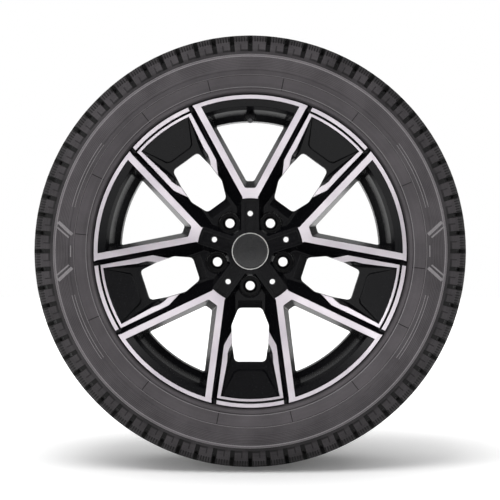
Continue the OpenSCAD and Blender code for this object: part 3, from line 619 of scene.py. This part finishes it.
@dataclass
class Studio:
    """Camera, floor, backdrop light and lamps."""

    picture: int = 500
    scale_at_lip: float = 1.5785
    distance: float = 2400.0
    lip_height: float = 112.6
    centre_px: tuple[float, float] = (250.2, 251.2)
    floor_radius: float = 9.0
    shadow_reach: tuple[float, float] = (0.15, 0.8)
    strip_above: tuple[float, float] = (0.28, 0.46)
    strip_above_level: float = 3.6
    strip_left: tuple[float, float] = (-0.8, -0.55)
    strip_left_level: float = 0.8
    front_level: float = 0.11
    backdrop_level: float = 0.5
    room_level: float = 0.36
    lamps: list[tuple[str, tuple[float, float, float], float, float]] = field(
        default_factory=lambda: [
            ("top", (-0.4, -1.4, 2.3), 1.6, 50.0),
            ("left", (-2.4, -1.9, 0.6), 1.2, 14.0),
            ("front", (0.7, -3.2, 0.5), 2.4, 26.0),
        ]
    )

    def camera(self) -> None:
        """Places the camera square to the wheel's face, as far off as the photograph's."""
        data = bpy.data.cameras.new("photo_camera")
        camera = bpy.data.objects.new("photo_camera", data)
        bpy.context.scene.collection.objects.link(camera)
        camera.location = (0, -(self.distance + self.lip_height) * MM, 0)
        camera.rotation_euler = (math.pi / 2, 0, 0)
        data.sensor_width = 36
        data.lens = 36 * self.distance / (self.picture * self.scale_at_lip)
        half = self.picture / 2
        data.shift_x = -(self.centre_px[0] - half) / self.picture
        data.shift_y = (self.centre_px[1] - half) / self.picture
        bpy.context.scene.camera = camera

    def floor(self, level: float) -> None:
        """Lays a pale round floor under the tyre.

        Args:
            level: Height of the floor in metres.
        """
        bpy.ops.object.select_all(action="DESELECT")
        bpy.ops.mesh.primitive_circle_add(
            vertices=96, radius=self.floor_radius, fill_type="NGON", location=(0, 0, level)
        )
        floor = bpy.context.object
        floor.name = "floor"
        material, tree, shader = new_material("pale_floor")
        shader.inputs["Base Color"].default_value = linear("#f7f7f7")
        shader.inputs["Roughness"].default_value = 0.9
        # White away from the tyre, also in reflections, so that the floor runs into the white background
        place = add(tree, "ShaderNodeTexCoord").outputs["Object"]
        reach = add(tree, "ShaderNodeVectorMath", {"operation": "LENGTH"}, {0: place}).outputs["Value"]
        near, away = self.shadow_reach
        white = add(
            tree, "ShaderNodeMapRange", {"clamp": True}, {0: reach, 1: near, 2: away, 3: 0.1, 4: 0.9}
        ).outputs[0]
        path = add(tree, "ShaderNodeLightPath").outputs
        seen = add(
            tree, "ShaderNodeMath", {"operation": "MAXIMUM"}, {0: path["Is Camera Ray"], 1: path["Is Glossy Ray"]}
        ).outputs[0]
        glow = add(tree, "ShaderNodeMath", {"operation": "MULTIPLY"}, {0: seen, 1: white}).outputs[0]
        tree.links.new(glow, shader.inputs["Emission Strength"])
        shader.inputs["Emission Color"].default_value = (1, 1, 1, 1)
        floor.data.materials.append(material)

    def world(self) -> None:
        """Lights the room evenly, with a white background, and strip lights that only reflections show."""
        world = bpy.data.worlds.new("studio")
        bpy.context.scene.world = world
        world.use_nodes = True
        tree = world.node_tree
        tree.nodes.clear()
        path = add(tree, "ShaderNodeLightPath")
        place = add(tree, "ShaderNodeTexCoord").outputs["Generated"]
        axes = add(tree, "ShaderNodeSeparateXYZ", None, {0: place})
        side, back, up = axes.outputs
        # The backdrop is white. Before the wheel hang a long strip light above and a short one on the left
        above = add(
            tree, "ShaderNodeMath", {"operation": "MULTIPLY_ADD"},
            {0: band(tree, up, *self.strip_above, 0.05), 1: self.strip_above_level, 2: self.front_level},
        ).outputs[0]
        front = add(
            tree, "ShaderNodeMath", {"operation": "MULTIPLY_ADD"},
            {0: band(tree, side, *self.strip_left, 0.08), 1: self.strip_left_level, 2: above},
        ).outputs[0]
        behind = add(
            tree, "ShaderNodeMapRange", {"clamp": True}, {0: back, 1: 0.1, 2: 0.6, 3: 0.0, 4: 1.0}
        ).outputs[0]
        room = add(
            tree, "ShaderNodeMix", {"data_type": "FLOAT"}, {0: behind, 2: front, 3: self.backdrop_level}
        ).outputs[0]
        mirrored = add(
            tree, "ShaderNodeMath", {"operation": "MAXIMUM"},
            {0: path.outputs["Is Glossy Ray"], 1: path.outputs["Is Transmission Ray"]},
        ).outputs[0]
        level = add(
            tree, "ShaderNodeMix", {"data_type": "FLOAT"}, {0: mirrored, 2: self.room_level, 3: room}
        ).outputs[0]
        level = add(
            tree, "ShaderNodeMix", {"data_type": "FLOAT"}, {0: path.outputs["Is Camera Ray"], 2: level, 3: 1.0}
        ).outputs[0]
        light = add(tree, "ShaderNodeBackground", None, {"Color": (1, 1, 1, 1), "Strength": level})
        add(tree, "ShaderNodeOutputWorld", None, {"Surface": light.outputs[0]})

    def lights(self) -> None:
        """Hangs the soft lamps, each turned to the wheel."""
        for name, place, size, power in self.lamps:
            data = bpy.data.lights.new(f"{name}_lamp", "AREA")
            data.size = size
            data.energy = power
            lamp = bpy.data.objects.new(f"{name}_lamp", data)
            bpy.context.scene.collection.objects.link(lamp)
            lamp.location = place
            # The studio's strip lights give the reflections
            lamp.visible_glossy = False
            lamp.rotation_euler = (-Vector(place)).to_track_quat("-Z", "Y").to_euler()

    def make(self) -> None:
        """Builds the studio."""
        bpy.context.scene.view_settings.view_transform = "Standard"
        self.camera()
        self.floor(CAD_BOX[0][2])
        self.world()
        self.lights()


def dress(node: str, material: bpy.types.Material) -> None:
    """Gives a CAD node its finish.

    Args:
        node: The node's name.
        material: Its finish.
    """
    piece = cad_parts[node]
    piece.data.materials.clear()
    piece.data.materials.append(material)
    log.info("%s: %s", node, material.name)


@dataclass
class CastWheel:
    """The casting of rim, spokes and hub."""

    finish: PaintedAndTurnedAlloy = field(default_factory=PaintedAndTurnedAlloy)

    def make(self) -> None:
        """Dresses the casting."""
        dress("wheel_casting", self.finish.make())


def start_plane(
    name: str, width: float, length: float, place: tuple[float, float, float], angle: float
) -> bpy.types.Object:
    """Adds a flat plate square to the axle, alone selected.

    Args:
        name: The piece's name.
        width: Its size outwards from the axle.
        length: Its size round the axle.
        place: Where its middle lies.
        angle: Its turn about the axle, in radians.

    Returns:
        The plate, with its place in its mesh.
    """
    bpy.ops.object.select_all(action="DESELECT")
    bpy.ops.mesh.primitive_plane_add(
        size=MM, location=Vector(place) * MM, rotation=(math.pi / 2, -angle, 0)
    )
    plate = bpy.context.object
    plate.name = name
    plate.scale = (width, length, 1)
    bpy.ops.object.transform_apply(location=True, rotation=True, scale=True)
    return plate


def apply_modifiers(piece: bpy.types.Object) -> None:
    """Applies every modifier of a piece, in order.

    Args:
        piece: The piece.
    """
    bpy.context.view_layer.objects.active = piece
    for modifier in list(piece.modifiers):
        bpy.ops.object.modifier_apply(modifier=modifier.name)


def join(name: str, pieces: list[bpy.types.Object]) -> bpy.types.Object:
    """Joins pieces into one.

    Args:
        name: The joined piece's name.
        pieces: The pieces.

    Returns:
        The joined piece.
    """
    bpy.ops.object.select_all(action="DESELECT")
    for piece in pieces:
        piece.select_set(True)
    bpy.context.view_layer.objects.active = pieces[0]
    bpy.ops.object.join()
    pieces[0].name = name
    log.info("%s: %d faces", name, len(pieces[0].data.polygons))
    return pieces[0]


@dataclass
class Tyre:
    """The tyre, with the raised ribs and bare panel frames of its mould and the wear bars in its grooves."""

    finish: TyreRubber = field(default_factory=TyreRubber)
    ribs: tuple[tuple[float, float], ...] = ((259.0, 0.9), (277.6, 0.8), (306.2, 1.3), (309.2, 0.9))
    frame_runs: tuple[tuple[tuple[float, float], tuple[float, float], float], ...] = (
        ((279.5, 26.0), (301.0, 46.0), 5.0),
        ((284.5, 21.5), (303.0, 37.5), 2.4),
        ((302.0, 46.0), (304.5, 36.0), 2.4),
        ((282.0, 9.0), (282.0, 0.0), 1.6),
    )
    arc_radii: tuple[float, ...] = (284.0, 288.0)
    arc_span: tuple[float, float] = (14.0, 36.0)
    arc_width: float = 0.9
    moulding: PlainFinish = PlainFinish("polished_mould_rubber", "#686567", "#7c797b", 0.0, 0.4, 0.5, 1.2, 0.03)
    relief: float = 0.7
    root: float = 0.35
    far: float = 150.0
    wear_bars: int = 6
    wear_bar: tuple[float, float, float] = (9.4, 12.0, 1.6)
    wear_bar_start: float = 30.0
    wear_bar_sink: float = 0.3
    wear_bar_edge: float = 0.5
    groove_floor: float = 341.5
    groove_middle: float = 33.0

    def lay(self, strip: bpy.types.Object, side: Side) -> bpy.types.Object:
        """Lays a flat strip on the side wall and gives it its thickness.

        Args:
            strip: The flat strip, off the side wall.
            side: The side that it lies on.

        Returns:
            The strip, standing proud of the rubber and rooted in it.
        """
        wrap = strip.modifiers.new("lay", "SHRINKWRAP")
        wrap.wrap_method = "PROJECT"
        wrap.use_project_y = True
        wrap.use_positive_direction = side is Side.FACE
        wrap.use_negative_direction = side is Side.BACK
        wrap.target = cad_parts["tyre"]
        apply_modifiers(strip)
        limit = CAD_BOX[1][1]
        out = side.value * self.relief * MM
        for vertex in strip.data.vertices:
            vertex.co.y = max(-limit, min(limit, vertex.co.y + out))
        bpy.ops.object.mode_set(mode="EDIT")
        bpy.ops.mesh.select_all(action="SELECT")
        bpy.ops.mesh.extrude_region_move(
            TRANSFORM_OT_translate={"value": (0, -side.value * (self.relief + self.root) * MM, 0)}
        )
        bpy.ops.mesh.select_all(action="SELECT")
        bpy.ops.mesh.normals_make_consistent(inside=False)
        bpy.ops.object.mode_set(mode="OBJECT")
        return strip

    def arc(
        self, name: str, radius: float, width: float, start: float, sweep: float, side: Side
    ) -> bpy.types.Object:
        """Spins a short edge about the axle into a raised rib.

        Args:
            name: The rib's name.
            radius: Its middle radius.
            width: Its width.
            start: The angle where it starts, in degrees.
            sweep: How far it runs round the axle, in degrees.
            side: The side that it lies on.

        Returns:
            The rib.
        """
        angle = math.radians(start)
        place = (radius * math.cos(angle), side.value * self.far, radius * math.sin(angle))
        strip = start_plane(name, width, width, place, angle)
        for part in (*strip.data.polygons, *strip.data.edges):
            part.select = False
        for vertex in strip.data.vertices:
            vertex.select = math.sin(math.atan2(vertex.co.z, vertex.co.x) - angle) > 0
        bpy.ops.object.mode_set(mode="EDIT")
        bpy.ops.mesh.select_mode(type="VERT")
        bpy.ops.mesh.delete(type="VERT")
        bpy.ops.mesh.select_all(action="SELECT")
        bpy.ops.mesh.spin(
            steps=max(8, round(sweep / 2)), angle=math.radians(sweep), center=(0, 0, 0), axis=(0, 1, 0)
        )
        bpy.ops.mesh.select_all(action="SELECT")
        bpy.ops.mesh.remove_doubles(threshold=0.01 * MM)
        bpy.ops.object.mode_set(mode="OBJECT")
        return self.lay(strip, side)

    def bar(
        self, name: str, start: tuple[float, float], end: tuple[float, float], width: float, side: Side
    ) -> bpy.types.Object:
        """Makes one straight raised bar of a panel's frame.

        Args:
            name: The bar's name.
            start: One end, across and up from the axle.
            end: The other end.
            width: Its width.
            side: The side that it lies on.

        Returns:
            The bar.
        """
        run = Vector(end) - Vector(start)
        middle = (Vector(end) + Vector(start)) / 2
        angle = math.atan2(run.y, run.x)
        strip = start_plane(name, run.length, width, (middle.x, side.value * self.far, middle.y), angle)
        bpy.ops.object.mode_set(mode="EDIT")
        bpy.ops.mesh.select_all(action="SELECT")
        bpy.ops.mesh.subdivide(number_cuts=9)
        bpy.ops.object.mode_set(mode="OBJECT")
        return self.lay(strip, side)

    def wear_bar_set(self) -> bpy.types.Object:
        """Sets low bars across the two wide grooves, evenly round the tread.

        Returns:
            The bars as one piece.
        """
        width, length, height = self.wear_bar
        bars = []
        for index in range(self.wear_bars):
            angle = math.radians(self.wear_bar_start + index * 360 / self.wear_bars)
            for side in Side:
                radius = self.groove_floor + height / 2 - self.wear_bar_sink
                place = Vector(
                    (radius * math.cos(angle), side.value * self.groove_middle, radius * math.sin(angle))
                )
                bpy.ops.object.select_all(action="DESELECT")
                bpy.ops.mesh.primitive_cube_add(size=MM, location=place * MM, rotation=(0, -angle, 0))
                block = bpy.context.object
                block.scale = (height, width, length)
                bpy.ops.object.transform_apply(location=True, rotation=True, scale=True)
                bevel = block.modifiers.new("edges", "BEVEL")
                bevel.width = self.wear_bar_edge * MM
                bevel.segments = 2
                apply_modifiers(block)
                bars.append(block)
        return join("tread_wear_bars", bars)

    def make(self) -> None:
        """Dresses the tyre and lays its mouldings on it."""
        rubber = self.finish.make()
        dress("tyre", rubber)
        raised = []
        for side in Side:
            for radius, width in self.ribs:
                raised.append(self.arc("rib", radius, width, 0.0, 360.0, side))
        ribs = join("side_wall_ribs", raised)
        raised = []
        for left in (1, -1):
            for up in (1, -1):
                for start, end, width in self.frame_runs:
                    ends = [(left * x, up * z) for x, z in (start, end)]
                    raised.append(self.bar("frame", ends[0], ends[1], width, Side.FACE))
                first, last = self.arc_span
                middle = (0 if left > 0 else 180) + left * up * (first + last) / 2
                for radius in self.arc_radii:
                    raised.append(
                        self.arc(
                            "arc", radius, self.arc_width, middle - (last - first) / 2, last - first, Side.FACE
                        )
                    )
        frames = join("side_wall_frames", raised)
        polished = self.moulding.make()
        for piece, material in ((ribs, polished), (frames, polished), (self.wear_bar_set(), rubber)):
            piece.data.materials.clear()
            piece.data.materials.append(material)
            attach(piece, "wheel")


@dataclass
class CentreCap:
    """The snap-in cap in the middle of the wheel, with its bare face plate."""

    finish: CapMoulding = field(default_factory=CapMoulding)

    def make(self) -> None:
        """Dresses the cap and its plate."""
        moulding = self.finish.make()
        dress("centre_cap", moulding)
        dress("cap_face_plate", moulding)


@dataclass
class CoreSpring:
    """The valve core's coil spring, which the pin's collar presses together."""

    finish: PlainFinish = PlainFinish("spring_wire", "#9c9a96", "#bdbab4", 1.0, 0.2, 0.35, 0.4, 0.01)
    wire: float = 0.3
    coil_radius: float = 1.1
    turns: int = 5
    travel: float = 1.2
    inwards: tuple[float, float, float] = (0.0, 0.939693, 0.34202)

    def make(self) -> None:
        """Winds the spring along the solid rings that stand for it."""
        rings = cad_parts["valve_core_spring"]
        inwards = Vector(self.inwards)
        along = [vertex.co.dot(inwards) / MM for vertex in rings.data.vertices]
        low, high = (Vector(corner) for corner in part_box("valve_core_spring"))
        middle = (low + high) / 2
        foot = middle + inwards * (max(along) * MM - middle.dot(inwards))
        length = max(along) - min(along)
        bpy.ops.object.select_all(action="DESELECT")
        bpy.ops.mesh.primitive_circle_add(
            vertices=10, radius=self.wire / 2 * MM, location=(self.coil_radius * MM, 0, self.wire / 2 * MM),
            rotation=(math.pi / 2, 0, 0),
        )
        coil = bpy.context.object
        coil.name = "valve_core_coil"
        bpy.ops.object.transform_apply(location=True, rotation=True, scale=True)
        screw = coil.modifiers.new("wind", "SCREW")
        screw.axis = "Z"
        screw.iterations = self.turns
        screw.steps = screw.render_steps = 24
        screw.screw_offset = (length - self.wire) / self.turns * MM
        apply_modifiers(coil)
        bpy.ops.object.mode_set(mode="EDIT")
        bpy.ops.mesh.select_all(action="SELECT")
        bpy.ops.mesh.remove_doubles(threshold=0.001 * MM)
        bpy.ops.mesh.select_all(action="SELECT")
        bpy.ops.mesh.fill_holes(sides=0)
        bpy.ops.mesh.select_all(action="SELECT")
        bpy.ops.mesh.normals_make_consistent(inside=False)
        bpy.ops.object.mode_set(mode="OBJECT")
        coil.location = foot
        coil.rotation_euler = (-inwards).to_track_quat("Z", "Y").to_euler()
        bpy.ops.object.transform_apply(location=True, rotation=True, scale=True)
        coil.data.materials.append(self.finish.make())
        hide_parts("valve_core_spring")
        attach(coil, "wheel")
        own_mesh(coil)
        log.info("%s: %d faces, %.2f mm long", coil.name, len(coil.data.polygons), length)


@dataclass
class SmallParts:
    """Spring ring, valve and balance weights.

    Brass and plating show warm and bright, drawn steel bright and cool, rubber and nylon a dull black, coated
    zinc a flat grey and the foam tape a dry dark grey.
    """

    finishes: dict[str, PlainFinish] = field(
        default_factory=lambda: {
            "cap_spring_ring": PlainFinish("drawn_spring_steel", "#8d8c88", "#b4b2ad", 1.0, 0.25, 0.4, 0.8, 0.01),
            "valve_stem": PlainFinish("moulded_valve_rubber", "#19191a", "#2a292a", 0.0, 0.5, 0.7, 1.0, 0.04),
            "valve_insert": PlainFinish("turned_brass", "#a5874e", "#c9a868", 1.0, 0.25, 0.35, 0.5, 0.01),
            "valve_core": PlainFinish("nickel_plated_brass", "#a39c86", "#c4bda6", 1.0, 0.2, 0.35, 0.5, 0.01),
            "valve_core_seal": PlainFinish("black_seal_rubber", "#141414", "#222222", 0.0, 0.5, 0.7, 0.6, 0.02),
            "valve_core_pin": PlainFinish("drawn_brass_pin", "#b09458", "#cfb273", 1.0, 0.2, 0.3, 0.4, 0.01),
            "valve_cap": PlainFinish("moulded_black_nylon", "#1b1b1d", "#2b2a2c", 0.0, 0.4, 0.55, 0.6, 0.03),
            "valve_cap_seal": PlainFinish("red_seal_rubber", "#5a1c18", "#7a2a22", 0.0, 0.5, 0.65, 0.6, 0.02),
            "balance_weights": PlainFinish("coated_zinc", "#7b7d80", "#9a9c9e", 0.6, 0.4, 0.6, 2.0, 0.05),
            "weight_tape": PlainFinish("foam_adhesive_tape", "#1f1f20", "#343334", 0.0, 0.7, 0.85, 0.8, 0.06),
        }
    )

    def make(self) -> None:
        """Dresses each small part."""
        for node, finish in self.finishes.items():
            dress(node, finish.make())


def main() -> None:
    """Builds the studio and dresses every part."""
    logging.basicConfig(level=logging.INFO, format="%(message)s")
    Studio().make()
    CastWheel().make()
    Tyre().make()
    CentreCap().make()
    SmallParts().make()
    CoreSpring().make()


if __name__ == "__main__":
    main()
